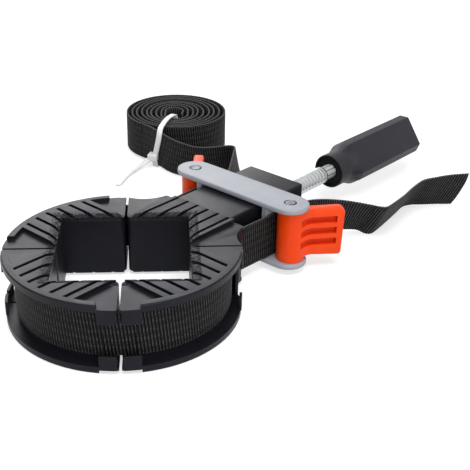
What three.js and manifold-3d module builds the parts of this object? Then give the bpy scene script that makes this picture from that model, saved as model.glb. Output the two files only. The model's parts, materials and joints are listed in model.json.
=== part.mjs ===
// Four-jaw band clamp: moulded corner jaws, a strap, two cam levers and a tightening screw.
// Millimetres, +Z up. X runs along the yoke and +Y from the jaws to the handle.
import * as THREE from 'three';
import { mergeVertices } from 'three/addons/utils/BufferGeometryUtils.js';
import Module from 'manifold-3d';

const wasm = await Module();
wasm.setup();

// Jaws, closed to a disc
const discRadius = 58;
const flangeThickness = 3.6;
const flangeReach = 6.5;
const hubWall = 5.68;
const jawGap = 1.2;
const jawCornerRadius = 3;
const shoulderReach = 4.6;
const shoulderDrop = 1.5;
const rimChamfer = 0.6;
const recessDepth = 2;
const rimBandWidth = 3.7;
const rimNotchLength = 9;
const grooveWidth = 1.9;
const groovePitch = 7.2;
const groovesPerSide = 3;
const panelHalfWidth = 22;
const tabThickness = 1.4;
const tabLength = 8.2;
const tabShortLength = 5.6;
const tabSetback = 0.8;
const tabShortSetback = 3.4;
const tabReach = 7.5;
const tabOffset = 0.3;

// Head jaw and its beam
const beamHalfWidth = 19.07;
const beamStep = 0.3;
const beamRear = 117.8;
const headSetback = 0.5;
const headPanelHalfWidth = 21;
const wingHalfWidth = 27.7;
const guideThickness = 1.5;
const guideFromShare = 0.15;
const guideToShare = 0.94;
const guideTouchShare = 0.475;
const wingCornerRadius = 1.2;
const scallopDepth = 3.2;
const beamWall = 4.5;
const beamRearWall = 7.2;
const cavityFront = 60;
const slotHeight = 12;
const slotFront = 65;
const beamEdge = 1;

// Yoke
const yokeY = 87.4;
const plateHalfWidth = 10.2;
const plateThickness = 3;
const lowerPlateThickness = 2.7;
const plateEdge = 0.7;
const plateClearance = 0.7;
const postClearance = 2.93;
const postThickness = 3.4;
const postLength = 17;
const pinSetback = 8.8;

// Cam levers and their pivot pins
const leverAngle = THREE.MathUtils.degToRad(51);
const camThrow = 1.3;
const paddleReach = 30;
const paddleTaper = 1;
const paddleThickness = 6;
const paddleTopCorner = 3.4;
const paddleFootCorner = 2;
const paddleEdge = 1.3;
const paddleRootGap = 2.1;
const paddleTipGap = 0.7;
const frontHollowRadius = 8;
const backHollowRadius = 4;
const fingerSlots = 3;
const fingerSlotLength = 10.5;
const fingerSlotHeight = 3.8;
const fingerSlotPitch = 6.4;
const fingerSlotDepth = 2.6;
const fingerSlotTop = 4.8;
const fingerSlotEndGap = 4.5;
const fluteRadius = 11;
const fluteSweep = THREE.MathUtils.degToRad(65);
const pinRadius = 2.5;
const pinHeadRadius = 3.2;
const pinHeadHeight = 1.2;

// Screw, the travelling nut and thrust parts
const screwDrop = 0.3;
const screwRadius = 5.45;
const threadDepth = 0.9;
const threadPitch = 3;
const threadEnd = 162;
const journalRadius = 4;
const journalLength = 4;
const nutLength = 9;
const nutArmHeight = 11.2;
const discThickness = 1.5;
const discClearRadius = 4.6;
const washerRadius = 8.5;
const washerThickness = 1.2;
const ringRadius = 7;
const ringThickness = 1.2;
const ringOpening = 5;
const ringGrooveDepth = 0.8;
const shankRadius = 4.3;
const threadSink = 0.3;

// Handle
const collarFace = 171;
const collarRadius = 10.5;
const collarLength = 9;
const collarWall = 1.3;
const collarRecess = 1.5;
const gripStart = 192;
const gripEnd = 260;
const gripHalfWidth = 13.3;
const gripFaceHalfWidth = 9.8;
const gripHalfThickness = 9.5;
const gripSideHalfThickness = 4.2;
const gripEndChamfer = 1.6;
const gripTurn = THREE.MathUtils.degToRad(35);
const socketDepth = 20;

// Strap
const strapWidth = 25;
const strapThickness = 1.2;
const strapRaise = 3.05;
const coilPitch = 3.55;
const coilRadius = 35.6;
const coilEyeRadius = 4.715;
const coilCentre = [-135, 176];
const coilStart = THREE.MathUtils.degToRad(-88);
const coilLift = 1.6;
const coilOval = 5.6;
const coilOvalAngle = THREE.MathUtils.degToRad(-45);
const coilDrift = [3, -5.4];

// Cable tie
const tieWidth = 3.6;
const tieThickness = 1.1;
const tieCorner = 1.5;
const tieSlack = 7.8;
const tieInnerLeg = 7;
const tieHeadLength = 5;
const tieHeadDepth = 4;
const tieHeadWidth = 5.6;
const tieHeadLow = 5;
const tieAngle = THREE.MathUtils.degToRad(-67);

// Clearances, and how far a cutter runs past what it cuts
const fit = 0.3;
const strapFit = 0.25;
const strapUnder = 0.35;
const overrun = 5;

// Counts of facets
const discSides = 96;
const roundSides = 24;
const cornerSteps = 4;
const threadSteps = 12;
const coilSteps = 24;

// The free strap's route by hand: lower edge, then upper edge, from the cam outwards
const tailRoute = [
  [[26.3, 99, 6.4], [26.3, 99, 31.4]],
  [[26.8, 108, 5.8], [27, 107, 30.8]],
  [[28.4, 122, 4.4], [30.5, 119, 29.3]],
  [[31.2, 139, 2.6], [38, 132.6, 26.6]],
  [[36.2, 149.4, 0.9], [48, 144.6, 22.9]],
  [[42.4, 149.9, 0.6], [53.8, 146.8, 22.6]],
  [[45.4, 151.8, 0.6], [56.8, 148.9, 22.7]],
  [[45.2, 158, 0.6], [56.6, 153.4, 22.3]],
  [[43.3, 171, 0.6], [55.1, 164.1, 21.5]],
  [[41, 185, 0.6], [52.9, 175.5, 20.4]],
  [[39.2, 196.5, 0.6], [51, 187, 20.5]],
  [[41.4, 203, 0.6], [52, 197.2, 22.5]],
  [[46, 207.8, 0.6], [56, 204.2, 23.3]],
  [[52, 214.6, 0.6], [60.9, 212.4, 23.8]],
  [[59.1, 221.6, 0.6], [68.2, 222.7, 23.8]],
];
const leadRoute = [
  [[-26.3, 99, 6.4], [-26.3, 99, 31.4]],
  [[-26.8, 107.5, 6], [-26.8, 105.5, 30.9]],
  [[-31, 118.5, 5.3], [-32.5, 114, 29.8]],
  [[-38, 130.5, 4.1], [-40, 124.5, 28.3]],
  [[-46.4, 142, 2.9], [-48, 135, 26.8]],
  [[-55.6, 153.6, 1.7], [-56, 145.5, 25.3]],
  [[-63.4, 161.6, 0.9], [-62, 153.4, 24.3]],
  [[-70, 166, 0.6], [-65.6, 157.2, 23.5]],
  [[-74.6, 163.4, 0.6], [-68.6, 156.6, 23.4]],
  [[-76.8, 157, 0.6], [-71.6, 151.1, 23.7]],
  [[-80, 149.2, 0.6], [-75.6, 142.9, 24.2]],
  [[-85, 142, 0.6], [-81.2, 137.2, 24.7]],
  [[-91, 138, 0.6], [-88.6, 135.2, 25.2]],
  [[-98, 136.4, 0.6], [-97, 135, 25.5]],
  [[-105, 136, 0.9], [-105, 135.8, 25.9]],
  [[-111.5, 136.8, 1.5], [-111.5, 136.8, 26.5]],
  [[-118, 138.2, 1.6], [-118, 138.2, 26.6]],
  [[-125.5, 139.8, 1.6], [-125.5, 139.8, 26.6]],
];
// The tie's free end by hand, counted from the foot of its head
const tieTail = [
  [-1.5, 0.5, 7.2], [-3.4, -1.2, 5.6], [-4.8, -5.4, 3], [-4.9, -11.5, 1.1], [-2.1, -20, 0.7], [4.8, -36, 0.7],
];

// Places worked out from the sizes
const strapLow = flangeThickness + strapRaise;
const discHeight = strapLow + strapWidth + strapFit + flangeThickness;
const hubRadius = discRadius - flangeReach;
const openingHalf = (hubRadius - hubWall) / Math.SQRT2;
const headRear = discRadius - headSetback;
const rimInner = discRadius - rimBandWidth;
const openingCorner = openingHalf * Math.SQRT2;
const gapShift = jawGap / Math.SQRT2;
const gapInner = new THREE.Vector2((openingCorner - gapShift) / 2, (openingCorner + gapShift) / 2);
const strapRadius = hubRadius + fit + strapThickness / 2;
const lowerPlateHigh = strapLow - strapUnder;
const beamBottom = lowerPlateHigh + plateClearance;
const beamTop = discHeight - beamStep;
const screwHeight = (beamBottom + beamTop) / 2 - screwDrop;
const plateLow = beamTop + plateClearance;
const plateHigh = plateLow + plateThickness;
const lowerPlateLow = lowerPlateHigh - lowerPlateThickness;
const postInner = beamHalfWidth + postClearance;
const postOuter = postInner + postThickness;
const pivotX = postOuter + pinSetback;
const strapPinchX = postOuter + strapFit + strapThickness / 2;
const drumRadius = pivotX + camThrow * Math.cos(leverAngle) - strapPinchX - strapThickness / 2 - strapFit;
const cavityRear = beamRear - beamRearWall;
const washerFront = cavityRear - fit - washerThickness;
const ringFront = washerFront - fit - ringThickness;
const pocketRadius = discClearRadius + fit;
const pocketFront = cavityFront - discThickness - journalLength / 2;
const journalFront = pocketFront + discThickness + 2 * fit;
const threadStart = journalFront + journalLength;
const threadRoot = screwRadius - threadDepth;
const coilMiddle = new THREE.Vector2(...coilCentre);
const coilTurns = (coilRadius - coilEyeRadius) / coilPitch;
const ringSeatRadius = threadRoot - ringGrooveDepth;

// Closed solids from geometry, and back
function signedVolume(positions, indices) {
  const [a, b, c] = [new THREE.Vector3(), new THREE.Vector3(), new THREE.Vector3()];
  let sum = 0;
  for (let i = 0; i < indices.length; i += 3) {
    [a, b, c].forEach((corner, k) => corner.fromArray(positions, indices[i + k] * 3));
    sum += a.dot(b.cross(c));
  }
  return sum;
}

function solid(geometry) {
  geometry.deleteAttribute('normal');
  geometry.deleteAttribute('uv');
  const merged = mergeVertices(geometry);
  const vertProperties = new Float32Array(merged.attributes.position.array);
  const triVerts = new Uint32Array(merged.index.array);
  if (signedVolume(vertProperties, triVerts) < 0) {
    for (let i = 0; i < triVerts.length; i += 3) {
      [triVerts[i], triVerts[i + 1]] = [triVerts[i + 1], triVerts[i]];
    }
  }
  return new wasm.Manifold(new wasm.Mesh({ numProp: 3, vertProperties, triVerts }));
}

const join = (...parts) => parts.reduce((whole, part) => whole.add(part));
const cut = (body, ...cutters) => cutters.reduce((rest, cutter) => rest.subtract(cutter), body);
const common = (...parts) => parts.reduce((rest, part) => rest.intersect(part));

function piece(name, body, material) {
  const { vertProperties, triVerts } = body.getMesh();
  const geometry = new THREE.BufferGeometry();
  geometry.setAttribute('position', new THREE.BufferAttribute(vertProperties, 3));
  geometry.setIndex(new THREE.BufferAttribute(triVerts, 1));
  geometry.computeVertexNormals();
  const mesh = new THREE.Mesh(geometry, material);
  mesh.name = name;
  return mesh;
}

// Plain shapes, standing on their own places
function box(x0, x1, y0, y1, z0, z1) {
  const geometry = new THREE.BoxGeometry(x1 - x0, y1 - y0, z1 - z0);
  return solid(geometry.translate((x0 + x1) / 2, (y0 + y1) / 2, (z0 + z1) / 2));
}

function post(radius, low, high, x = 0, y = 0, sides = roundSides, topRadius = radius) {
  const geometry = new THREE.CylinderGeometry(topRadius, radius, high - low, sides);
  return solid(geometry.rotateX(Math.PI / 2).translate(x, y, (low + high) / 2));
}

function shaft(radius, front, rear, sides = roundSides, rearRadius = radius) {
  const geometry = new THREE.CylinderGeometry(rearRadius, radius, rear - front, sides);
  return solid(geometry.translate(0, (front + rear) / 2, screwHeight));
}

function turned(profile, sides) {
  const points = profile.map(([r, z]) => new THREE.Vector2(r, z));
  return solid(new THREE.LatheGeometry(points, sides).rotateX(Math.PI / 2));
}

function plate(points, low, high, edge = 0) {
  const shape = new THREE.Shape(points.map(([x, y]) => new THREE.Vector2(x, y)));
  const geometry = new THREE.ExtrudeGeometry(shape, {
    depth: high - low - 2 * edge,
    bevelEnabled: edge > 0,
    bevelThickness: edge,
    bevelSize: edge,
    bevelOffset: -edge,
    bevelSegments: 2,
  });
  return solid(geometry.translate(0, 0, low + edge));
}

// Rings of points joined in turn: capped at both ends, or closed on itself
function loft(rings, closed = false) {
  const count = rings[0].length;
  const indices = [];
  const steps = closed ? rings.length : rings.length - 1;
  for (let i = 0; i < steps; i += 1) {
    for (let k = 0; k < count; k += 1) {
      const [a, b] = [i * count + k, i * count + ((k + 1) % count)];
      const next = ((i + 1) % rings.length) * count;
      const [c, d] = [next + k, next + ((k + 1) % count)];
      indices.push(a, b, d, a, d, c);
    }
  }
  if (!closed) {
    const last = (rings.length - 1) * count;
    for (let k = 1; k < count - 1; k += 1) {
      indices.push(0, k + 1, k, last, last + k, last + k + 1);
    }
  }
  const geometry = new THREE.BufferGeometry();
  const positions = rings.flat().flatMap((p) => p.toArray());
  geometry.setAttribute('position', new THREE.Float32BufferAttribute(positions, 3));
  geometry.setIndex(indices);
  return solid(geometry);
}

function arc(x, y, radius, from, to, steps) {
  return Array.from({ length: steps + 1 }, (_, i) => {
    const angle = from + ((to - from) * i) / steps;
    return [x + radius * Math.cos(angle), y + radius * Math.sin(angle)];
  });
}

// An outline of corners [x, y, radius], each turned by a small arc where it has a radius
function rounded(corners) {
  return corners.flatMap(([x, y, radius = 0], i) => {
    if (!radius) return [[x, y]];
    const at = new THREE.Vector2(x, y);
    const before = corners[(i + corners.length - 1) % corners.length];
    const after = corners[(i + 1) % corners.length];
    const back = new THREE.Vector2(before[0], before[1]).sub(at).normalize();
    const ahead = new THREE.Vector2(after[0], after[1]).sub(at).normalize();
    const half = Math.acos(THREE.MathUtils.clamp(back.dot(ahead), -1, 1)) / 2;
    const reach = radius / Math.tan(half);
    const middle = at.clone().addScaledVector(back.clone().add(ahead).normalize(), radius / Math.sin(half));
    const start = at.clone().addScaledVector(back, reach).sub(middle);
    const end = at.clone().addScaledVector(ahead, reach).sub(middle);
    let turn = end.angle() - start.angle();
    if (turn > Math.PI) turn -= 2 * Math.PI;
    if (turn < -Math.PI) turn += 2 * Math.PI;
    return arc(middle.x, middle.y, radius, start.angle(), start.angle() + turn, cornerSteps);
  });
}

const mirrored = (corners) => corners.map(([x, y, ...rest]) => [-x, y, ...rest]).reverse();

// A strap through stations [lower edge, upper edge], as thick as the webbing
function strap(stations) {
  const middles = stations.map(([low, high]) => low.clone().add(high).divideScalar(2));
  return loft(stations.map(([low, high], i) => {
    const ahead = middles[Math.min(i + 1, middles.length - 1)].clone();
    const heading = ahead.sub(middles[Math.max(i - 1, 0)]).normalize();
    const across = high.clone().sub(low).normalize();
    const side = heading.cross(across).normalize().multiplyScalar(strapThickness / 2);
    return [low.clone().add(side), high.clone().add(side), high.clone().sub(side), low.clone().sub(side)];
  }));
}

const upright = (x, y, low) => [new THREE.Vector3(x, y, low), new THREE.Vector3(x, y, low + strapWidth)];
const asStations = (route) => route.map((edges) => edges.map((point) => new THREE.Vector3(...point)));

// Jaw features, in the frame of one jaw whose corner lies on +Y
const wedge = rounded([
  [0, openingCorner],
  [gapInner.x, gapInner.y, jawCornerRadius],
  [gapInner.x + discRadius, gapInner.y + discRadius],
  [-gapInner.x - discRadius, gapInner.y + discRadius],
  [-gapInner.x, gapInner.y, jawCornerRadius],
]);
const levels = [[discHeight - recessDepth, discHeight + overrun], [-overrun, recessDepth]];

function disc() {
  return turned([
    [0, 0], [discRadius - rimChamfer, 0], [discRadius, rimChamfer], [discRadius, flangeThickness],
    [hubRadius, flangeThickness], [hubRadius, discHeight - flangeThickness],
    [discRadius, discHeight - flangeThickness], [discRadius, discHeight - rimChamfer],
    [discRadius - rimChamfer, discHeight], [0, discHeight],
  ], discSides);
}

// A band beside one gap, between two distances from it
function besideGap(side, near, far, low, high) {
  const [a, b] = [(near + jawGap / 2) * Math.SQRT2, (far + jawGap / 2) * Math.SQRT2];
  const reach = discRadius + overrun;
  const corners = [[0, a], [reach, reach + a], [reach, reach + b], [0, b]];
  return plate(side > 0 ? corners : mirrored(corners), low, high);
}

// The jaws round over into the square opening, above and below
function openingCutters() {
  const radius = (shoulderReach ** 2 + shoulderDrop ** 2) / (2 * shoulderDrop);
  const curve = Array.from({ length: cornerSteps + 1 }, (_, i) => {
    const inward = shoulderReach * (1 - i / cornerSteps);
    const level = discHeight - radius + Math.sqrt(radius ** 2 - inward ** 2);
    return [(openingHalf + shoulderReach - inward) * Math.SQRT2, level];
  });
  const [outside, above] = [curve.at(-1)[0], discHeight + overrun];
  const upper = [[0, discHeight - shoulderDrop], ...curve, [outside, above], [0, above]];
  const lower = upper.map(([r, z]) => [r, discHeight - z]);
  return [turned(upper, 4), turned(lower, 4)];
}

function grooves(low, high, outer) {
  const cutters = [];
  for (let i = 0; i < groovesPerSide; i += 1) {
    for (const side of [-1, 1]) {
      const x = side * (i + 1 / 2) * groovePitch;
      cutters.push(box(x - grooveWidth / 2, x + grooveWidth / 2, 0, outer, low, high));
    }
  }
  return join(...cutters);
}

function looseJaw(tabPlaces) {
  let body = common(disc(), plate(wedge, 0, discHeight));
  for (const [low, high] of levels) {
    const inside = post(rimInner, low, high, 0, 0, discSides);
    const sides = [-1, 1].map((side) => {
      const beyond = side > 0
        ? box(panelHalfWidth, discRadius + overrun, 0, discRadius, low, high)
        : box(-discRadius - overrun, -panelHalfWidth, 0, discRadius, low, high);
      return common(beyond, join(inside, besideGap(side, -overrun, rimNotchLength, low, high)));
    });
    body = cut(body, ...sides, common(grooves(low, high, discRadius), inside));
  }
  body = cut(body, ...openingCutters());
  const [inner, outer] = [discRadius - tabThickness + tabOffset, discRadius + tabOffset];
  const hung = discHeight - recessDepth;
  for (const [side, setback, length] of tabPlaces) {
    for (const [low, high] of [[hung - tabReach, hung], [recessDepth, recessDepth + tabReach]]) {
      const bore = post(inner, low - overrun, high + overrun, 0, 0, discSides);
      const ring = cut(post(outer, low, high, 0, 0, discSides), bore);
      body = join(body, common(ring, besideGap(side, setback, setback + length, low, high)));
    }
  }
  return body;
}

// The head jaw's plate has two wings, hollowed where the strap leaves the disc
const onGap = (radius) => {
  const x = (Math.sqrt(2 * radius ** 2 - gapShift ** 2) - gapShift) / 2;
  return new THREE.Vector2(x, x + gapShift);
};

// The hollow curve from a rim to a wing, between two shares of its length and moved inwards
function scallop(from, to, inset, steps = 2 * cornerSteps) {
  const rim = onGap(discRadius);
  const wing = new THREE.Vector2(wingHalfWidth, headRear);
  const inward = new THREE.Vector2(-1, -1).normalize().multiplyScalar(2 * scallopDepth);
  const curve = new THREE.QuadraticBezierCurve(rim, rim.clone().add(wing).divideScalar(2).add(inward), wing);
  return Array.from({ length: steps + 1 }, (_, i) => {
    const share = from + ((to - from) * i) / steps;
    const side = curve.getTangent(share).rotateAround(new THREE.Vector2(), Math.PI / 2);
    const at = curve.getPoint(share).addScaledVector(side, inset);
    return [at.x, at.y];
  });
}

function headOutline() {
  const right = [
    [gapInner.x, gapInner.y, jawCornerRadius], ...scallop(0, 1, 0).slice(0, -1),
    [wingHalfWidth, headRear, wingCornerRadius],
  ];
  const hub = onGap(hubRadius);
  const behindStrap = guideThickness + strapThickness + 2 * fit + strapFit / 2;
  const side = scallop(guideTouchShare, 1, behindStrap, cornerSteps);
  const core = [
    [gapInner.x, gapInner.y, jawCornerRadius], [hub.x, hub.y], ...side, [side[cornerSteps][0], headRear],
  ];
  const guide = [
    ...scallop(guideFromShare, guideToShare, 0),
    ...scallop(guideFromShare, guideToShare, guideThickness).reverse(),
  ];
  return {
    flange: rounded([[0, openingCorner], ...right, ...mirrored(right)]),
    core: rounded([[0, openingCorner], ...core, ...mirrored(core)]),
    guides: [guide, mirrored(guide)],
  };
}

function headBody() {
  const { flange, core, guides } = headOutline();
  const bar = rounded([
    [-beamHalfWidth, beamBottom, beamEdge], [beamHalfWidth, beamBottom, beamEdge],
    [beamHalfWidth, beamTop, beamEdge], [-beamHalfWidth, beamTop, beamEdge],
  ]);
  const beamShape = new THREE.Shape(bar.map(([x, z]) => new THREE.Vector2(x, z)));
  const beamLength = beamRear - openingCorner - shoulderReach - overrun;
  const beamGeometry = new THREE.ExtrudeGeometry(beamShape, { depth: beamLength, bevelEnabled: false });
  const beam = solid(beamGeometry.rotateX(Math.PI / 2).translate(0, beamRear, 0));
  let body = join(
    plate(core, 0, discHeight),
    plate(flange, 0, flangeThickness),
    plate(flange, discHeight - flangeThickness, discHeight),
    ...guides.map((guide) => plate(guide, flangeThickness - fit, discHeight - flangeThickness + fit)),
    beam,
  );
  for (const [low, high] of levels) {
    const reach = headRear - recessDepth / 4;
    const sides = [-1, 1].map((side) => (side > 0
      ? box(headPanelHalfWidth, discRadius + overrun, 0, headRear + overrun, low, high)
      : box(-discRadius - overrun, -headPanelHalfWidth, 0, headRear + overrun, low, high)));
    body = cut(body, ...sides, grooves(low, high, reach));
  }
  const cavity = beamHalfWidth - beamWall;
  const [slotLow, slotHigh] = [screwHeight - slotHeight / 2, screwHeight + slotHeight / 2];
  return cut(
    body,
    ...openingCutters(),
    box(-cavity, cavity, cavityFront, cavityRear, beamBottom + beamWall, beamTop - beamWall),
    box(-beamHalfWidth - overrun, beamHalfWidth + overrun, slotFront, cavityRear, slotLow, slotHigh),
    shaft(screwRadius + fit, cavityRear - overrun, beamRear + overrun),
    shaft(pocketRadius, pocketFront, cavityFront + overrun),
  );
}

// The yoke: two plates and two posts round the beam, with seats for the pins' heads
function yokeBody() {
  const stadium = [
    ...arc(pivotX, yokeY, plateHalfWidth, -Math.PI / 2, Math.PI / 2, 3 * cornerSteps),
    ...arc(-pivotX, yokeY, plateHalfWidth, Math.PI / 2, (3 * Math.PI) / 2, 3 * cornerSteps),
  ];
  const [front, rear] = [yokeY - postLength / 2, yokeY + postLength / 2];
  const posts = [-1, 1].map((side) => {
    const [near, far] = [side * postInner, side * postOuter].sort((a, b) => a - b);
    return box(near, far, front, rear, lowerPlateHigh - plateEdge, plateLow + plateEdge);
  });
  const deep = pinHeadHeight + fit;
  const holes = [-1, 1].map((side) => join(
    post(pinRadius + fit, -overrun, plateHigh + overrun, side * pivotX, yokeY),
    post(pinHeadRadius + fit, plateHigh - deep, plateHigh + overrun, side * pivotX, yokeY),
    post(pinHeadRadius + fit, -overrun, lowerPlateLow + deep, side * pivotX, yokeY),
  ));
  const upper = plate(stadium, plateLow, plateHigh, plateEdge);
  const lower = plate(stadium, lowerPlateLow, lowerPlateHigh, plateEdge);
  return cut(join(upper, lower, ...posts), ...holes);
}

function camPin(side) {
  const x = side * pivotX;
  return join(
    post(pinRadius, lowerPlateLow, plateHigh, x, yokeY),
    post(pinHeadRadius, lowerPlateLow, lowerPlateLow + pinHeadHeight, x, yokeY),
    post(pinHeadRadius, plateHigh - pinHeadHeight, plateHigh, x, yokeY),
  );
}

// The curve from a paddle's face to the drum, for a face on the -Y side
function hollow(radius) {
  const half = paddleThickness / 2;
  const reach = camThrow + Math.sqrt((drumRadius + radius) ** 2 - (half + radius) ** 2);
  const end = Math.atan2(half + radius, camThrow - reach);
  return arc(reach, -half - radius, radius, Math.PI / 2, end, 2 * cornerSteps);
}

// A slot's floor runs along the paddle, then out to the drum as a flute
function slotOutline() {
  const floor = fingerSlotDepth - paddleThickness / 2;
  const end = paddleReach - fingerSlotEndGap;
  const [start, outside] = [end - fingerSlotLength, -drumRadius - overrun];
  const sweep = Math.PI / 2 + fluteSweep;
  const flute = arc(start, floor - fluteRadius, fluteRadius, Math.PI / 2, sweep, 2 * cornerSteps);
  return [[end, outside], [end, floor], ...flute, [flute.at(-1)[0], outside]];
}

// A lever points along +X from its pivot; its finger slots are in the face on the side given
function camLever(side) {
  const [low, high] = [lowerPlateHigh + fit, plateLow - fit];
  const facing = (points) => points.map(([x, y]) => [x, side * y]);
  const outline = rounded([
    [0, low + paddleRootGap],
    [paddleReach - paddleTaper, low + paddleTipGap, paddleFootCorner],
    [paddleReach, high, paddleTopCorner],
    [0, high],
  ]);
  const shape = new THREE.Shape(outline.map(([x, z]) => new THREE.Vector2(x, z)));
  const flat = new THREE.ExtrudeGeometry(shape, {
    depth: paddleThickness - 2 * paddleEdge,
    bevelThickness: paddleEdge,
    bevelSize: paddleEdge,
    bevelOffset: -paddleEdge,
    bevelSegments: 2,
  });
  const paddle = solid(flat.rotateX(Math.PI / 2).translate(0, paddleThickness / 2 - paddleEdge, 0));
  const drum = post(drumRadius, low, high, camThrow, 0);
  const front = facing(hollow(frontHollowRadius));
  const back = facing(hollow(backHollowRadius).map(([x, y]) => [x, -y]));
  const web = plate([[camThrow, 0], ...front.reverse(), ...back], low + paddleRootGap, high);
  const slots = Array.from({ length: fingerSlots }, (_, i) => {
    const top = high - fingerSlotTop - i * fingerSlotPitch;
    return plate(facing(slotOutline()), top - fingerSlotHeight, top);
  });
  const bore = post(pinRadius + fit, low - overrun, high + overrun);
  return cut(join(paddle, drum, web), bore, ...slots);
}

// The travelling nut rides on the screw, and its arms reach the posts through the beam's slots
function crossNut() {
  const [front, rear] = [yokeY - nutLength / 2, yokeY + nutLength / 2];
  const inside = beamHalfWidth - beamWall - fit;
  const tall = (beamTop - beamBottom) / 2 - beamWall - 2 * fit;
  const middle = (beamTop + beamBottom) / 2;
  const [armLow, armHigh] = [screwHeight - nutArmHeight / 2, screwHeight + nutArmHeight / 2];
  return cut(
    join(
      box(-inside, inside, front, rear, middle - tall, middle + tall),
      box(fit - postInner, postInner - fit, front, rear, armLow, armHigh),
    ),
    shaft(screwRadius + fit, front - overrun, rear + overrun),
  );
}

const thrustDisc = () => shaft(discClearRadius, pocketFront + fit, pocketFront + fit + discThickness);

function thrustWasher() {
  const [front, rear] = [washerFront, washerFront + washerThickness];
  return cut(shaft(washerRadius, front, rear), shaft(screwRadius + fit, front - overrun, rear + overrun));
}

function retainingRing() {
  const [front, rear] = [ringFront, ringFront + ringThickness];
  return cut(
    shaft(ringRadius, front, rear),
    shaft(ringSeatRadius + fit, front - overrun, rear + overrun),
    box(
      -ringOpening / 2, ringOpening / 2, front - overrun, rear + overrun,
      screwHeight - ringRadius - overrun, screwHeight,
    ),
  );
}

// The thread is a ridge wound on the core, from its start to its run-out
function screwBody() {
  const turns = (threadEnd - threadStart) / threadPitch - 1;
  const count = Math.round(turns * threadSteps);
  const [base, crest] = [threadPitch / 3, threadPitch / 8];
  const rings = Array.from({ length: count + 1 }, (_, i) => {
    const angle = (i / threadSteps) * 2 * Math.PI;
    const y = threadStart + (i / threadSteps + 1 / 2) * threadPitch;
    const fade = Math.min(1, i / threadSteps, (count - i) / threadSteps);
    const low = threadRoot - threadSink;
    const least = low + threadSink / 4;
    const high = least + (screwRadius - least) * fade;
    return [[low, -base], [high, -crest], [high, crest], [low, base]].map(([r, d]) => (
      new THREE.Vector3(r * Math.cos(angle), y + d, screwHeight - r * Math.sin(angle))));
  });
  const [grooveFront, grooveRear] = [ringFront - fit / 2, ringFront + ringThickness + fit / 2];
  const groove = cut(
    shaft(screwRadius + overrun, grooveFront, grooveRear),
    shaft(ringSeatRadius, grooveFront - overrun, grooveRear + overrun),
  );
  return cut(join(
    shaft(journalRadius, journalFront, threadEnd),
    shaft(threadRoot, threadStart, threadEnd - threadPitch / 2, threadSteps),
    shaft(threadRoot, threadEnd - threadPitch / 2, threadEnd, threadSteps, journalRadius),
    shaft(shankRadius, threadEnd - threadPitch, collarFace + socketDepth - fit, 8),
    loft(rings),
  ), groove);
}

// The handle goes from a round collar to a flat grip with broad chamfers
function handleBody() {
  const quarter = [
    [gripHalfThickness, gripFaceHalfWidth], [gripSideHalfThickness, gripHalfWidth],
  ];
  const corners = [
    ...quarter, ...quarter.map(([x, z]) => [-x, z]).reverse(),
    ...quarter.map(([x, z]) => [-x, -z]), ...quarter.map(([x, z]) => [x, -z]).reverse(),
  ];
  const section = corners.flatMap(([x, z], i) => {
    const [nextX, nextZ] = corners[(i + 1) % corners.length];
    return Array.from({ length: cornerSteps }, (_, k) => {
      const t = k / cornerSteps;
      return new THREE.Vector2(x + (nextX - x) * t, z + (nextZ - z) * t);
    });
  });
  const ring = (y, point) => section.map((p) => {
    const at = point(p).rotateAround(new THREE.Vector2(), gripTurn);
    return new THREE.Vector3(at.x, y, screwHeight + at.y);
  });
  const round = (radius) => (p) => p.clone().setLength(radius);
  const inset = (edge) => (p) => p.clone().multiply(
    new THREE.Vector2(1 - edge / gripHalfThickness, 1 - edge / gripHalfWidth));
  const body = loft([
    ring(collarFace, round(collarRadius)),
    ring(collarFace + collarLength, round(collarRadius)),
    ring(gripStart, inset(0)),
    ring(gripEnd - gripEndChamfer, inset(0)),
    ring(gripEnd, inset(gripEndChamfer)),
  ]);
  return cut(
    body,
    shaft(collarRadius - collarWall, collarFace - overrun, collarFace + collarRecess),
    shaft(shankRadius + fit, collarFace, collarFace + socketDepth),
  );
}

// The strap on the three loose jaws, on its way to the cams, and beyond them
const strapGuide = scallop(guideTouchShare, 1, guideThickness + fit + strapThickness / 2, cornerSteps);

function tangentAngle() {
  const [x, y] = strapGuide[0];
  return Math.atan2(y, x) - Math.acos(strapRadius / Math.hypot(x, y));
}

function wrap(from, to) {
  const steps = Math.ceil(((to - from) / (2 * Math.PI)) * discSides);
  return strap(arc(0, 0, strapRadius, from, to, steps).map(([x, y]) => upright(x, y, strapLow)));
}

function strapRun(side) {
  const leave = tangentAngle() + fit / strapRadius;
  const start = [strapRadius * Math.cos(leave), strapRadius * Math.sin(leave)];
  const cam = [[strapPinchX, yokeY - postLength / 2], [strapPinchX, tailRoute[0][0][1] - fit]];
  const places = [start, ...strapGuide, ...cam];
  return strap(places.map(([x, y]) => upright(side * x, y, strapLow)));
}

// Round outside, and further in more and more oval and off the middle
function coilPoints() {
  const count = Math.round(coilTurns * coilSteps);
  const drift = new THREE.Vector2(...coilDrift);
  return Array.from({ length: count + 1 }, (_, i) => {
    const angle = coilStart - (i / coilSteps) * 2 * Math.PI;
    const inward = i / count;
    const longer = (coilOval * inward * (1 + Math.cos(2 * (angle - coilOvalAngle)))) / 2;
    const radius = coilRadius - (coilPitch * i) / coilSteps + longer;
    const at = new THREE.Vector2(radius * Math.cos(angle), radius * Math.sin(angle));
    return at.add(coilMiddle).addScaledVector(drift, inward);
  });
}

function leastGap(points) {
  let least = Infinity;
  points.forEach((p, i) => {
    for (let k = i + coilSteps / 2; k < points.length - 1; k += 1) {
      const side = points[k + 1].clone().sub(points[k]);
      const t = THREE.MathUtils.clamp(p.clone().sub(points[k]).dot(side) / side.lengthSq(), 0, 1);
      least = Math.min(least, p.distanceTo(points[k].clone().addScaledVector(side, t)) - strapThickness);
    }
  });
  return least;
}

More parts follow.
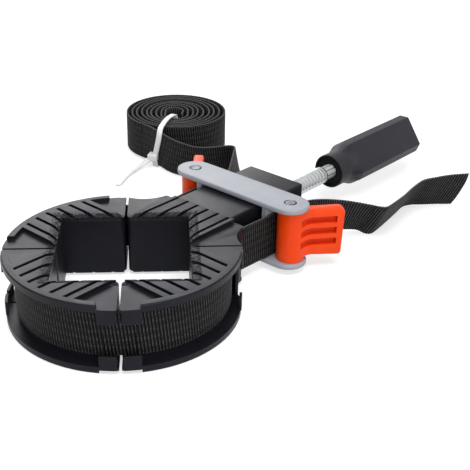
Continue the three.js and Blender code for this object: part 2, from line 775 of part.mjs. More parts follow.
function strapCoil() {
  const points = coilPoints();
  console.log(`least gap between the coil's turns: ${leastGap(points).toFixed(2)} mm`);
  return strap(points.map((p) => upright(p.x, p.y, coilLift)));
}

function strapLead() {
  const end = coilStart + fit / coilRadius;
  const at = new THREE.Vector2(Math.cos(end), Math.sin(end)).multiplyScalar(coilRadius).add(coilMiddle);
  return strap([...asStations(leadRoute), upright(at.x, at.y, coilLift)]);
}

// The tie stands in the plane through the coil's axis: down its eye and up outside the strap that
// leaves the coil
function cableTie() {
  const outward = new THREE.Vector3(Math.cos(tieAngle), Math.sin(tieAngle), 0);
  const across = new THREE.Vector3(-outward.y, outward.x, 0).multiplyScalar(tieWidth / 2);
  const centre = new THREE.Vector3(coilCentre[0], coilCentre[1], 0);
  const outerLeg = coilRadius + strapThickness / 2 + tieSlack + tieThickness / 2;
  const topRun = coilLift + strapWidth + fit + tieThickness / 2;
  const loop = rounded([
    [tieInnerLeg, tieThickness / 2, tieCorner], [outerLeg, tieThickness / 2, tieCorner],
    [outerLeg, topRun, tieCorner], [tieInnerLeg, topRun, tieCorner],
  ]);
  const middle = new THREE.Vector2((tieInnerLeg + outerLeg) / 2, topRun / 2);
  const rings = loop.map(([s, z], i) => {
    const before = new THREE.Vector2(...loop[(i + loop.length - 1) % loop.length]);
    const after = new THREE.Vector2(...loop[(i + 1) % loop.length]);
    const normal = after.sub(before).normalize().rotateAround(new THREE.Vector2(), Math.PI / 2);
    if (normal.dot(middle.clone().sub(new THREE.Vector2(s, z))) > 0) normal.negate();
    return [[-1, -1], [-1, 1], [1, 1], [1, -1]].map(([out, along]) => {
      const at = new THREE.Vector2(s, z).addScaledVector(normal, (out * tieThickness) / 2);
      return centre.clone().addScaledVector(outward, at.x).addScaledVector(across, along).setZ(at.y);
    });
  });
  const headMiddle = outerLeg - tieThickness / 2 + tieHeadDepth / 2;
  const foot = centre.clone().addScaledVector(outward, headMiddle);
  const head = new THREE.BoxGeometry(tieHeadDepth, tieHeadWidth, tieHeadLength);
  head.rotateZ(tieAngle).translate(foot.x, foot.y, tieHeadLow + tieHeadLength / 2);
  const route = new THREE.CatmullRomCurve3(tieTail.map((point) => new THREE.Vector3(...point).add(foot)));
  const points = route.getPoints(3 * cornerSteps);
  const tail = loft(points.map((p, i) => {
    const ahead = points[Math.min(i + 1, points.length - 1)].clone();
    const heading = ahead.sub(points[Math.max(i - 1, 0)]).normalize();
    const side = new THREE.Vector3(heading.y, -heading.x, 0).normalize().multiplyScalar(tieWidth / 2);
    const up = side.clone().cross(heading).normalize().multiplyScalar(tieThickness / 2);
    return [[1, 1], [1, -1], [-1, -1], [-1, 1]].map(([a, b]) => (
      p.clone().addScaledVector(side, a).addScaledVector(up, b)));
  }));
  return join(loft(rings, true), solid(head), tail);
}

// Materials
function look(color, roughness, metalness = 0) {
  return new THREE.MeshStandardMaterial({ color, roughness, metalness });
}

const blackPlastic = look('#35373d', 0.5);
const handlePlastic = look('#3b3a41', 0.45);
const orangePlastic = look('#f4521e', 0.4);
const castGrey = look('#b9bcc4', 0.45, 0.3);
const zincSteel = look('#c9ccd0', 0.3, 1);
const webbing = look('#1b1b1d', 0.9);
const whiteNylon = look('#f2f2f0', 0.5);

// The whole clamp
const clamp = new THREE.Group();

const fullTab = (side) => [side, tabSetback, tabLength];
const shortTab = (side) => [side, tabShortSetback, tabShortLength];
const jaws = [
  ['jaw_left', Math.PI / 2, [fullTab(-1), shortTab(1)]],
  ['jaw_far', Math.PI, [fullTab(-1), fullTab(1)]],
  ['jaw_right', -Math.PI / 2, [shortTab(-1), fullTab(1)]],
];
for (const [name, turn, tabPlaces] of jaws) {
  const jaw = piece(name, looseJaw(tabPlaces), blackPlastic);
  jaw.rotation.z = turn;
  clamp.add(jaw);
}
clamp.add(piece('head_body', headBody(), blackPlastic));

clamp.add(piece('yoke', yokeBody(), castGrey));
for (const [end, side] of [['left', -1], ['right', 1]]) {
  const lever = piece(`cam_lever_${end}`, camLever(side), orangePlastic);
  lever.position.set(side * pivotX, yokeY, 0);
  lever.rotation.z = side > 0 ? leverAngle : Math.PI - leverAngle;
  clamp.add(lever);
  clamp.add(piece(`cam_pin_${end}`, camPin(side), zincSteel));
}

clamp.add(piece('screw', screwBody(), zincSteel));
clamp.add(piece('cross_nut', crossNut(), zincSteel));
clamp.add(piece('thrust_disc', thrustDisc(), zincSteel));
clamp.add(piece('thrust_washer', thrustWasher(), zincSteel));
clamp.add(piece('retaining_ring', retainingRing(), zincSteel));
clamp.add(piece('handle', handleBody(), handlePlastic));

const edge = fit / 2 / strapRadius;
const quarter = Math.PI / 4;
clamp.add(piece('strap_wrap_right', wrap(edge - quarter, tangentAngle()), webbing));
clamp.add(piece('strap_wrap_far', wrap(edge - 3 * quarter, -quarter - edge), webbing));
clamp.add(piece('strap_wrap_left', wrap(Math.PI - tangentAngle(), 5 * quarter - edge), webbing));
clamp.add(piece('strap_run_left', strapRun(-1), webbing));
clamp.add(piece('strap_run_right', strapRun(1), webbing));
clamp.add(piece('strap_tail', strap(asStations(tailRoute)), webbing));
clamp.add(piece('strap_lead', strapLead(), webbing));
clamp.add(piece('strap_coil', strapCoil(), webbing));
clamp.add(piece('cable_tie', cableTie(), whiteNylon));

// The origin is the middle of the whole clamp's footprint, on the surface it lies on
const extent = new THREE.Box3().setFromObject(clamp, true);
const middle = extent.getCenter(new THREE.Vector3());
clamp.position.set(-middle.x, -middle.y, -extent.min.z);
clamp.updateMatrixWorld(true);

export default clamp;
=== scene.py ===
"""Four-jaw band clamp with a webbing strap, two cam levers and a tightening screw. Metres, +Z up."""
import json
import math

import bmesh
import bpy
import numpy as np
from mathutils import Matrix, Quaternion, Vector
from mathutils.bvhtree import BVHTree

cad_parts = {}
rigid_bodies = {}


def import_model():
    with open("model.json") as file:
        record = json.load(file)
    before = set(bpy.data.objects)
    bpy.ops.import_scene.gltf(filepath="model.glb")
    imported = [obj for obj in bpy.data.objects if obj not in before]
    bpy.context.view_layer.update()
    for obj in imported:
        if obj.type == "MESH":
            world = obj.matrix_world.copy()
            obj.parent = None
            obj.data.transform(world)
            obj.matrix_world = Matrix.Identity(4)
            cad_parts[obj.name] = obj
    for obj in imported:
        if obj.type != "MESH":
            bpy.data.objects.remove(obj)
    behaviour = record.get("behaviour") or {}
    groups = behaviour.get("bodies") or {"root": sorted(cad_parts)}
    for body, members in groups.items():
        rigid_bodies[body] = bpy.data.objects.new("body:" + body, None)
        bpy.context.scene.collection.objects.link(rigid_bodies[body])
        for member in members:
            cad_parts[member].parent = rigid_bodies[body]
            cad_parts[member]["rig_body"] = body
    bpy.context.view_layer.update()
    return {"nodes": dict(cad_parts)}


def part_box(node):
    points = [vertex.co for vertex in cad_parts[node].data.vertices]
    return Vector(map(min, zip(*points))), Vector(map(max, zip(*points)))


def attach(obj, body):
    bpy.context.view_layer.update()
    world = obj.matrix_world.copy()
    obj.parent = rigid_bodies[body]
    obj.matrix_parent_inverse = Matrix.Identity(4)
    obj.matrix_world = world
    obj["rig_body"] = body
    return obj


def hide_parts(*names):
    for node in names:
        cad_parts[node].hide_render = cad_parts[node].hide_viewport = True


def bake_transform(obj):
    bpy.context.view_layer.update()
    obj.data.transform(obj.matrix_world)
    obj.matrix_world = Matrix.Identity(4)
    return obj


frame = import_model()

# The middle of the closed jaws, which the places below are counted from
DISC_RADIUS = 0.058
JAW_LOW, JAW_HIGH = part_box("jaw_far")
DISC = Vector(((JAW_LOW.x + JAW_HIGH.x) / 2, JAW_LOW.y + DISC_RADIUS, 0))

# The gap between neighbouring pieces
FIT = 0.0003

# The rolled edge round the square opening. Its lumps begin and are full so many drops below the top
OPENING_HALF = 0.0324
ROLL_REACH = 0.0046
ROLL_FULL_SHARE = 0.6
ROLL_DROP = 0.0015
ROLL_DROPS = (2.5, 1.5)

# The photograph's camera
CAMERA_PLACE = DISC + Vector((0.293881, -0.261311, 0.240373))
CAMERA_AIM = DISC + Vector((0.013639, 0.067248, 0.02))
CAMERA_ROLL = math.radians(1.283)
FOCAL_LENGTH_PIXELS = 909.03
IMAGE_WIDTH_PIXELS = 470
SENSOR_WIDTH = 36
CLIP_START = 0.01
CLIP_END = 20

# Each lamp's name, place, aim, size and power
LAMPS = [
    ("top_softbox", (0.25, -0.1, 0.9), (0.03, 0.03, 0), (0.6, 0.5), 5),
    ("side_softbox", (0.9, -0.5, 0.4), (0, 0.05, 0), (0.4, 0.4), 3.4),
    ("rear_softbox", (-0.95, 0.62, 0.61), (0, 0, 0), (0.8, 0.6), 5.3),
]

# The world and the floor
WHITE = (1, 1, 1, 1)
WORLD_STRENGTH = 0.42
FLOOR_HALF = 6
FLOOR_COLOR = (0.6, 0.6, 0.605, 1)
FLOOR_GLOW = 0.62

# The cool tint of the light that the dark plastics reflect
SHEEN_TINT = (0.84, 0.87, 1, 1)

# How a copy of a CAD node is cleaned and its edges are rounded
MERGE_DISTANCE = 1e-6
FLAT_ANGLE = math.radians(0.5)
EDGE_ANGLE = math.radians(30)
EDGE_SEGMENTS = 3
JAW_EDGE = 0.0004
YOKE_EDGE = 0.0005
LEVER_EDGE = 0.0005
PIN_EDGE = 0.0006
TIE_HEAD_EDGE = 0.0007

# The strap, with a rib value of zero to one on its faces and of RIM on its woven edges, which are
# painted lighter as a highlight
STRAP_WIDTH = 0.025
STRAP_THICKNESS = 0.0012
STRAP_LOW = 0.00665
STRAP_RADIUS = 0.0524
RIB_PITCH = 0.00158
RIB_SKEW = 0.1
RIB_DEPTH = 0.00028
RIB_ROUNDNESS = 0.8
EDGE_SCALLOP = 0.0004
YARN_PITCH = STRAP_WIDTH / 27
RIM = 1.5
RIM_LEVEL_SHARE = 0.45
TAIL_BULGE = 0.0015
TAIL_BULGE_LENGTH = 0.012
STEPS_PER_RIB = 4
STEPS_ACROSS = 8
SELVEDGE = 0.0005
GAP_HALF_ANGLE = math.radians(8)
ROUTE_SAMPLES = 24

# The strap's way between the cam and the jaws: past the drum, then along the head's curved wall
PINCH = Vector((0.0263, 0.0789, 0))
CAM_EXIT = 0.0987
TANGENT = math.radians(40.15)
STRAP_GUIDE = [
    (0.030383, 0.04525), (0.028564, 0.047765), (0.027119, 0.050598), (0.026044, 0.053727),
    (0.025327, 0.057138)]

# The spare strap's coil
COIL_CENTRE = Vector((-0.135, 0.176, 0))
COIL_RADIUS = 0.0356
COIL_EYE_RADIUS = 0.004715
COIL_PITCH = 0.00355
COIL_START = math.radians(-88)
COIL_LIFT = 0.0016
COIL_OVAL = 0.0056
COIL_OVAL_ANGLE = math.radians(-45)
COIL_DRIFT = Vector((0.003, -0.0054, 0))
COIL_WANDER = 0.0003
COIL_WANDER_RATE = 1.9
COIL_RISE = 0.0007
COIL_RISE_RATE = 2.3
COIL_STEPS = 96
COIL_TIGHT_SHARE = 0.6

# The cable tie
TIE_WIDTH = 0.0036
TIE_THICKNESS = 0.0011
TIE_EDGE = 0.0003
TIE_HEAD = (0.0068, 0.0056, 0.0046)
TIE_SLOT_WALL = 0.0008
TIE_SLOT_DEPTH = 0.0016
TIE_HEAD_LEAN = 0.25

# The free strap's route: lower edge, then upper edge, from the cam outwards
TAIL_ROUTE = [
    [(0.0263, 0.099, 0.0064), (0.0263, 0.099, 0.0314)],
    [(0.0268, 0.108, 0.0058), (0.027, 0.107, 0.0308)],
    [(0.0284, 0.122, 0.0044), (0.0305, 0.119, 0.0293)],
    [(0.0312, 0.139, 0.0026), (0.038, 0.1326, 0.0266)],
    [(0.0362, 0.1494, 0.0009), (0.048, 0.1446, 0.0229)],
    [(0.0424, 0.1499, 0.0006), (0.0538, 0.1468, 0.0226)],
    [(0.0454, 0.1518, 0.0006), (0.0568, 0.1489, 0.0227)],
    [(0.0452, 0.158, 0.0006), (0.0566, 0.1534, 0.0223)],
    [(0.0433, 0.171, 0.0006), (0.0551, 0.1641, 0.0215)],
    [(0.041, 0.185, 0.0006), (0.0529, 0.1755, 0.0204)],
    [(0.0392, 0.1965, 0.0006), (0.051, 0.187, 0.0205)],
    [(0.0414, 0.203, 0.0006), (0.052, 0.1972, 0.0225)],
    [(0.046, 0.2078, 0.0006), (0.056, 0.2042, 0.0233)],
    [(0.052, 0.2146, 0.0006), (0.0609, 0.2124, 0.0238)],
    [(0.0591, 0.2216, 0.0006), (0.0682, 0.2227, 0.0238)],
]
LEAD_ROUTE = [
    [(-0.0263, 0.099, 0.0064), (-0.0263, 0.099, 0.0314)],
    [(-0.0268, 0.1075, 0.006), (-0.0268, 0.1055, 0.0309)],
    [(-0.031, 0.1185, 0.0053), (-0.0325, 0.114, 0.0298)],
    [(-0.038, 0.1305, 0.0041), (-0.04, 0.1245, 0.0283)],
    [(-0.0464, 0.142, 0.0029), (-0.048, 0.135, 0.0268)],
    [(-0.0556, 0.1536, 0.0017), (-0.056, 0.1455, 0.0253)],
    [(-0.0634, 0.1616, 0.0009), (-0.062, 0.1534, 0.0243)],
    [(-0.07, 0.166, 0.0006), (-0.0656, 0.1572, 0.0235)],
    [(-0.0746, 0.1634, 0.0006), (-0.0686, 0.1566, 0.0234)],
    [(-0.0768, 0.157, 0.0006), (-0.0716, 0.1511, 0.0237)],
    [(-0.08, 0.1492, 0.0006), (-0.0756, 0.1429, 0.0242)],
    [(-0.085, 0.142, 0.0006), (-0.0812, 0.1372, 0.0247)],
    [(-0.091, 0.138, 0.0006), (-0.0886, 0.1352, 0.0252)],
    [(-0.098, 0.1364, 0.0006), (-0.097, 0.135, 0.0255)],
    [(-0.105, 0.136, 0.0009), (-0.105, 0.1358, 0.0259)],
    [(-0.1115, 0.1368, 0.0015), (-0.1115, 0.1368, 0.0265)],
    [(-0.118, 0.1382, 0.0016), (-0.118, 0.1382, 0.0266)],
    [(-0.1255, 0.1398, 0.0016), (-0.1255, 0.1398, 0.0266)],
]

# The cable tie's route: round the coil and the strap that leaves it, then its free end
TIE_ROUTE = [
    (-0.1268, 0.1654, 0.0014), (-0.1269, 0.1656, 0.0035), (-0.1269, 0.1656, 0.0095),
    (-0.1269, 0.1656, 0.018), (-0.1268, 0.1652, 0.0262), (-0.1263, 0.1635, 0.0283),
    (-0.1251, 0.159, 0.0287), (-0.1232, 0.1542, 0.0288), (-0.1205, 0.149, 0.0288),
    (-0.1177, 0.1442, 0.0287), (-0.115, 0.1398, 0.0284), (-0.1128, 0.1366, 0.0274),
    (-0.112, 0.1351, 0.0249), (-0.1127, 0.1349, 0.021), (-0.1141, 0.135, 0.0165),
    (-0.1158, 0.1353, 0.0115), (-0.1172, 0.1356, 0.0075), (-0.1172, 0.1358, 0.004),
    (-0.1174, 0.1366, 0.0013), (-0.1183, 0.139, 0.0006), (-0.1215, 0.1485, 0.0006),
    (-0.1248, 0.1585, 0.0006), (-0.1263, 0.1637, 0.0007),
]
TIE_HEAD_PLACE = (-0.1182, 0.1353, 0.0078)
TIE_TAIL = [
    (-0.1184, 0.1348, 0.0078), (-0.1194, 0.1336, 0.0068), (-0.1206, 0.131, 0.005),
    (-0.1216, 0.127, 0.003), (-0.1218, 0.122, 0.0015), (-0.1206, 0.1156, 0.0009),
    (-0.1178, 0.1086, 0.0007), (-0.1146, 0.1022, 0.0007), (-0.1122, 0.0974, 0.0007),
]

# The screw
SCREW_HEIGHT = 0.0208
SCREW_RADIUS = 0.00545
THREAD_PITCH = 0.003
THREAD_DEPTH = 0.0003
THREAD_END = 0.162
THREAD_STEPS = 32
THREAD_ROWS = 8
JOURNAL_RADIUS = 0.004
JOURNAL_LENGTH = 0.004
SHANK_RADIUS = 0.0043
SHANK_END = 0.1907
SHANK_CHAMFER = 0.0012
SHANK_SHOULDER = 0.0015
SHANK_FACETS = 8
SHANK_FACET_DEPTH = 0.0003
SHANK_FACET_STEEPNESS = 2.5

# How a face of a lever looks for walls beside it, for the shade painted into its slots
HOLLOW_REACH = 0.004
HOLLOW_START = 1e-5
HOLLOW_RAYS = 48
GOLDEN_TURN = 3 - math.sqrt(5)

# The pins
PIN_PLACE = Vector((0.0342, 0.0874, 0))
PIN_HEAD_RADIUS = 0.0032
# The shares of a pin head's radius, out from its middle and to its side, over which painted shade comes
# in
PIN_EDGE_SHARES = (0.7, 0.9)
PIN_SIDE_SHARES = (0.35, 0.7)

# The handle
COLLAR_FACE = 0.171
COLLAR_RADIUS = 0.0105
COLLAR_LENGTH = 0.009
COLLAR_WALL = 0.0013
COLLAR_RECESS = 0.0015
GRIP_START = 0.192
GRIP_END = 0.26
GRIP_HALF_WIDTH = 0.0133
GRIP_FACE_HALF_WIDTH = 0.0098
GRIP_HALF_THICKNESS = 0.0095
GRIP_SIDE_HALF_THICKNESS = 0.0042
GRIP_END_CHAMFER = 0.0016
GRIP_TURN = math.radians(35)
GRIP_EDGE = 0.0008
GRIP_CORNER_STEPS = 6
GRIP_END_SHARES = (0.25, 0.5, 0.75, 0.92, 1.0)
SOCKET_DEPTH = 2 * COLLAR_LENGTH
SOCKET_RINGS = 5
SHOULDER_RINGS = 12
HANDLE_STEP = math.radians(5)
HANDLE_LEAST_STEP = math.radians(0.4)


# Camera, light and floor
def add_object(name, data):
    item = bpy.data.objects.new(name, data)
    bpy.context.scene.collection.objects.link(item)
    return item


def make_camera():
    data = bpy.data.cameras.new("camera")
    data.sensor_width = SENSOR_WIDTH
    data.lens = FOCAL_LENGTH_PIXELS / IMAGE_WIDTH_PIXELS * SENSOR_WIDTH
    data.clip_start = CLIP_START
    data.clip_end = CLIP_END
    camera = add_object("camera", data)
    camera.location = CAMERA_PLACE
    camera.rotation_mode = "QUATERNION"
    level = (CAMERA_AIM - CAMERA_PLACE).to_track_quat("-Z", "Y")
    camera.rotation_quaternion = level @ Quaternion((0, 0, 1), CAMERA_ROLL)
    bpy.context.scene.camera = camera


def area_light(name, place, aim, size, power):
    data = bpy.data.lights.new(name, "AREA")
    data.shape = "RECTANGLE"
    data.size, data.size_y = size
    data.energy = power
    light = add_object(name, data)
    light.location = DISC + Vector(place)
    light.rotation_mode = "QUATERNION"
    light.rotation_quaternion = (Vector(aim) - Vector(place)).to_track_quat("-Z", "Y")


def empty_tree(owner):
    owner.use_nodes = True
    owner.node_tree.nodes.clear()
    return owner.node_tree


def make_world():
    """A white background, and a weaker white that lights the object."""
    world = bpy.data.worlds.new("studio")
    bpy.context.scene.world = world
    tree = empty_tree(world)
    output = tree.nodes.new("ShaderNodeOutputWorld")
    mix = tree.nodes.new("ShaderNodeMixShader")
    seen = tree.nodes.new("ShaderNodeBackground")
    seen.inputs["Color"].default_value = WHITE
    lighting = tree.nodes.new("ShaderNodeBackground")
    lighting.inputs["Color"].default_value = WHITE
    lighting.inputs["Strength"].default_value = WORLD_STRENGTH
    tree.links.new(seen_rays(tree), mix.inputs["Fac"])
    tree.links.new(lighting.outputs[0], mix.inputs[1])
    tree.links.new(seen.outputs[0], mix.inputs[2])
    tree.links.new(mix.outputs[0], output.inputs["Surface"])


def seen_rays(tree):
    """One for the rays that show the background, straight on or through gloss and glass."""
    path = tree.nodes.new("ShaderNodeLightPath")
    total = path.outputs["Is Camera Ray"]
    for name in ("Is Glossy Ray", "Is Transmission Ray"):
        either = tree.nodes.new("ShaderNodeMath")
        either.operation = "MAXIMUM"
        tree.links.new(total, either.inputs[0])
        tree.links.new(path.outputs[name], either.inputs[1])
        total = either.outputs[0]
    return total


def make_floor():
    """A pale floor that keeps the object's shadow and glows only for the rays that show it."""
    corners = [(x * FLOOR_HALF, y * FLOOR_HALF, 0) for x, y in ((-1, -1), (1, -1), (1, 1), (-1, 1))]
    mesh = bpy.data.meshes.new("floor")
    mesh.from_pydata(corners, [], [(0, 1, 2, 3)])
    floor = add_object("floor", mesh)
    material = bpy.data.materials.new("floor")
    tree = empty_tree(material)
    output = tree.nodes.new("ShaderNodeOutputMaterial")
    diffuse = tree.nodes.new("ShaderNodeBsdfDiffuse")
    diffuse.inputs["Color"].default_value = FLOOR_COLOR
    glow = tree.nodes.new("ShaderNodeEmission")
    glow.inputs["Color"].default_value = WHITE
    strength = tree.nodes.new("ShaderNodeMath")
    strength.operation = "MULTIPLY"
    strength.inputs[1].default_value = FLOOR_GLOW
    tree.links.new(seen_rays(tree), strength.inputs[0])
    tree.links.new(strength.outputs[0], glow.inputs["Strength"])
    both = tree.nodes.new("ShaderNodeAddShader")
    tree.links.new(diffuse.outputs[0], both.inputs[0])
    tree.links.new(glow.outputs[0], both.inputs[1])
    tree.links.new(both.outputs[0], output.inputs["Surface"])
    mesh.materials.append(material)


# Materials
class Look:
    """A material with a Principled shader, and short calls for the nodes that feed it."""

    def __init__(self, name, color, roughness, metallic=0.0, specular=0.5):
        self.material = bpy.data.materials.new(name)
        self.material.use_nodes = True
        self.tree = self.material.node_tree
        self.link = self.tree.links.new
        self.shader = self.tree.nodes["Principled BSDF"]
        self.color = (*color, 1)
        self.shader.inputs["Base Color"].default_value = self.color
        self.shader.inputs["Roughness"].default_value = roughness
        self.shader.inputs["Metallic"].default_value = metallic
        self.shader.inputs["Specular IOR Level"].default_value = specular
        self.roughness = roughness

    def place(self):
        return self.tree.nodes.new("ShaderNodeTexCoord").outputs["Object"]

    def coordinates(self):
        split = self.tree.nodes.new("ShaderNodeSeparateXYZ")
        self.link(self.place(), split.inputs[0])
        return split.outputs

    def attribute(self, name):
        node = self.tree.nodes.new("ShaderNodeAttribute")
        node.attribute_name = name
        return node.outputs["Fac"]

    def noise(self, size, detail, stretch=(1, 1, 1)):
        """Noise with features about size metres across, from zero to one."""
        mapping = self.tree.nodes.new("ShaderNodeMapping")
        mapping.inputs["Scale"].default_value = [s / size for s in stretch]
        self.link(self.place(), mapping.inputs["Vector"])
        node = self.tree.nodes.new("ShaderNodeTexNoise")
        node.inputs["Scale"].default_value = 1
        node.inputs["Detail"].default_value = detail
        self.link(mapping.outputs[0], node.inputs["Vector"])
        return node.outputs["Fac"]

    def from_opening(self):
        """One along the rolled edge round the square opening, near the top, and zero elsewhere."""
        place = self.coordinates()
        sides = [self.math("ABSOLUTE", self.math("SUBTRACT", place[k], DISC[k])) for k in (0, 1)]
        away = self.math("MULTIPLY", self.math("ADD", *sides), math.sqrt(0.5))
        full = OPENING_HALF + ROLL_REACH * ROLL_FULL_SHARE
        inside = self.ramp(away, OPENING_HALF + ROLL_REACH, full)
        high = self.ramp(place[2], *(JAW_HIGH.z - drops * ROLL_DROP for drops in ROLL_DROPS))
        return self.math("MULTIPLY", inside, high)

    def pin_side_shade_mask(self):
        """One at the edge of a pin's head to its left and right, where shade is painted, and zero
        elsewhere.
        """
        place = self.coordinates()
        out = self.math("ABSOLUTE", self.math("SUBTRACT", place[0], DISC.x))
        x = self.math("SUBTRACT", out, PIN_PLACE.x)
        y = self.math("SUBTRACT", place[1], DISC.y + PIN_PLACE.y)
        squares = self.math("MULTIPLY", x, x), self.math("MULTIPLY", y, y)
        away = self.math("SQRT", self.math("ADD", *squares))
        edge = self.ramp(away, *(PIN_HEAD_RADIUS * share for share in PIN_EDGE_SHARES))
        sideways = self.math("ABSOLUTE", x)
        beside = self.ramp(sideways, *(PIN_HEAD_RADIUS * share for share in PIN_SIDE_SHARES))
        return self.math("MULTIPLY", edge, beside)

    def math(self, operation, a, b=None):
        node = self.tree.nodes.new("ShaderNodeMath")
        node.operation = operation
        for socket, value in zip(node.inputs, (a, b)):
            if isinstance(value, bpy.types.NodeSocket):
                self.link(value, socket)
            elif value is not None:
                socket.default_value = value
        return node.outputs[0]

    def ramp(self, value, low, high):
        """Value spread so that low gives zero and high gives one."""
        node = self.tree.nodes.new("ShaderNodeMapRange")
        node.inputs["From Min"].default_value = low
        node.inputs["From Max"].default_value = high
        self.link(value, node.inputs["Value"])
        return node.outputs["Result"]

    def mix_color(self, amount, other):
        """Base colour goes towards other where amount is one."""
        node = self.tree.nodes.new("ShaderNodeMix")
        node.data_type = "RGBA"
        self.link(amount, node.inputs["Factor"])
        socket = self.shader.inputs["Base Color"]
        if socket.links:
            self.link(socket.links[0].from_socket, node.inputs["A"])
        else:
            node.inputs["A"].default_value = self.color
        node.inputs["B"].default_value = (*other, 1)
        self.link(node.outputs["Result"], socket)

    def vary_roughness(self, value, spread):
        """Roughness goes up and down by spread as value goes from zero to one."""
        offset = self.math("MULTIPLY", self.math("SUBTRACT", value, 0.5), 2 * spread)
        self.link(self.math("ADD", offset, self.roughness), self.shader.inputs["Roughness"])

    def mottle(self, size, spread, other, detail=4, stretch=(1, 1, 1)):
        """Base colour goes towards other in patches about size metres across."""
        self.mix_color(self.ramp(self.noise(size, detail, stretch), *spread), other)

    def uneven_gloss(self, size, spread):
        self.vary_roughness(self.noise(size, 4), spread)

    def grain(self, size, depth, strength, detail=2, stretch=(1, 1, 1)):
        self.bump(self.noise(size, detail, stretch), depth, strength)

    def softly_lit(self, weight, radius):
        """Light that goes a little way into the surface, by radius for red, green and blue."""
        self.shader.inputs["Subsurface Weight"].default_value = weight
        self.shader.inputs["Subsurface Radius"].default_value = radius

    def bump(self, height, distance, strength):
        node = self.tree.nodes.new("ShaderNodeBump")
        node.inputs["Distance"].default_value = distance
        node.inputs["Strength"].default_value = strength
        self.link(height, node.inputs["Height"])
        socket = self.shader.inputs["Normal"]
        if socket.links:
            self.link(socket.links[0].from_socket, node.inputs["Normal"])
        self.link(node.outputs[0], socket)


def black_plastic():
    """Satin moulded plastic, lumpy where the jaws' upper face rolls into the opening."""
    look = Look("black_plastic", (0.008, 0.008, 0.0112), 0.37, specular=0.165)
    look.mottle(0.02, (0.45, 0.8), (0.0125, 0.0128, 0.0155))
    look.shader.inputs["Specular Tint"].default_value = SHEEN_TINT
    look.uneven_gloss(0.006, 0.07)
    look.grain(0.0005, 0.00003, 0.5)
    look.grain(0.012, 0.0002, 0.25)
    rolled = look.math("MULTIPLY", look.from_opening(), look.noise(0.0019, 2, (1, 1, 0.4)))
    look.bump(rolled, 0.0018, 1)
    return look.material


def handle_plastic():
    """Satin moulded plastic, a little lighter and duller than the jaws'."""
    look = Look("handle_plastic", (0.019, 0.0185, 0.024), 0.46, specular=0.22)
    look.mottle(0.015, (0.45, 0.8), (0.024, 0.0235, 0.03))
    look.shader.inputs["Specular Tint"].default_value = SHEEN_TINT
    look.uneven_gloss(0.004, 0.06)
    look.grain(0.0004, 0.00003, 0.5)
    return look.material


def socket_plastic():
    """The darker, rougher inside of the handle's socket."""
    look = Look("socket_plastic", (0.006, 0.006, 0.0065), 0.6, specular=0.1)
    look.grain(0.0008, 0.00006, 0.6, detail=3)
    return look.material


def orange_plastic():
    """Smooth moulded plastic, with painted shade: a deeper red where its walls stand close together."""
    look = Look("orange_plastic", (0.98, 0.066, 0.004), 0.32, specular=0.22)
    look.mottle(0.012, (0.4, 0.9), (1, 0.08, 0.008), detail=3)
    # Painted shade: faces hemmed in by nearby walls, as in the slots, are painted a deeper red
    look.mix_color(look.ramp(look.attribute("hollow"), 0.15, 0.6), (0.62, 0.03, 0.003))
    look.uneven_gloss(0.003, 0.05)
    look.grain(0.0006, 0.00002, 0.4)
    look.grain(0.006, 0.00012, 0.3)
    look.softly_lit(0.06, (0.002, 0.0006, 0.0003))
    return look.material


def cast_grey():
    """A coated casting, finely rough and slightly uneven."""
    look = Look("cast_grey", (0.355, 0.368, 0.41), 0.48, metallic=0.1, specular=0.3)
    look.mottle(0.01, (0.4, 0.8), (0.39, 0.403, 0.445))
    look.uneven_gloss(0.002, 0.06)
    look.grain(0.0007, 0.00005, 0.6, detail=3)
    look.grain(0.005, 0.0001, 0.3)
    return look.material


def zinc_steel():
    """Zinc-plated steel with duller patches."""
    look = Look("zinc_steel", (0.53, 0.55, 0.56), 0.34, metallic=1.0)
    look.mottle(0.003, (0.45, 0.8), (0.42, 0.44, 0.45))
    look.uneven_gloss(0.0015, 0.1)
    look.grain(0.0006, 0.00003, 0.5, detail=3)
    return look.material


def shank_steel():
    """The shank's plating, drawn out along it: far lighter than the screw's steel as a painted
    highlight, with painted shade in the grooves between its flats.
    """
    # The light base colour is a painted highlight
    look = Look("shank_steel", (0.93, 0.94, 0.95), 0.32, metallic=0.2)
    look.mottle(0.002, (0.5, 0.8), (0.6, 0.61, 0.62), detail=3, stretch=(1, 0.3, 1))
    # Painted shade: dark lines in the grooves between the flats
    look.mix_color(look.ramp(look.attribute("groove_shade"), 0.55, 0.85), (0.05, 0.05, 0.055))
    look.grain(0.0006, 0.00003, 0.5, detail=3)
    return look.material


def pin_steel():
    """The pins' steel, dulled, with fine scratches across their heads, and painted shade at each head's
    left and right edges.
    """
    look = Look("pin_steel", (0.26, 0.27, 0.29), 0.5, metallic=1.0)
    look.mottle(0.0014, (0.45, 0.62), (0.11, 0.115, 0.125), detail=3, stretch=(0.3, 1, 1))
    # Painted shade: near-black arcs at the left and right edges of each pin's head
    look.mix_color(look.pin_side_shade_mask(), (0.012, 0.012, 0.014))
    look.uneven_gloss(0.001, 0.1)
    look.grain(0.0008, 0.00012, 0.8, detail=3, stretch=(0.3, 1, 1))
    return look.material


def white_nylon():
    look = Look("white_nylon", (0.86, 0.86, 0.85), 0.4)
    look.uneven_gloss(0.002, 0.05)
    look.grain(0.0005, 0.00002, 0.4)
    look.softly_lit(0.2, (0.001, 0.001, 0.001))
    return look.material


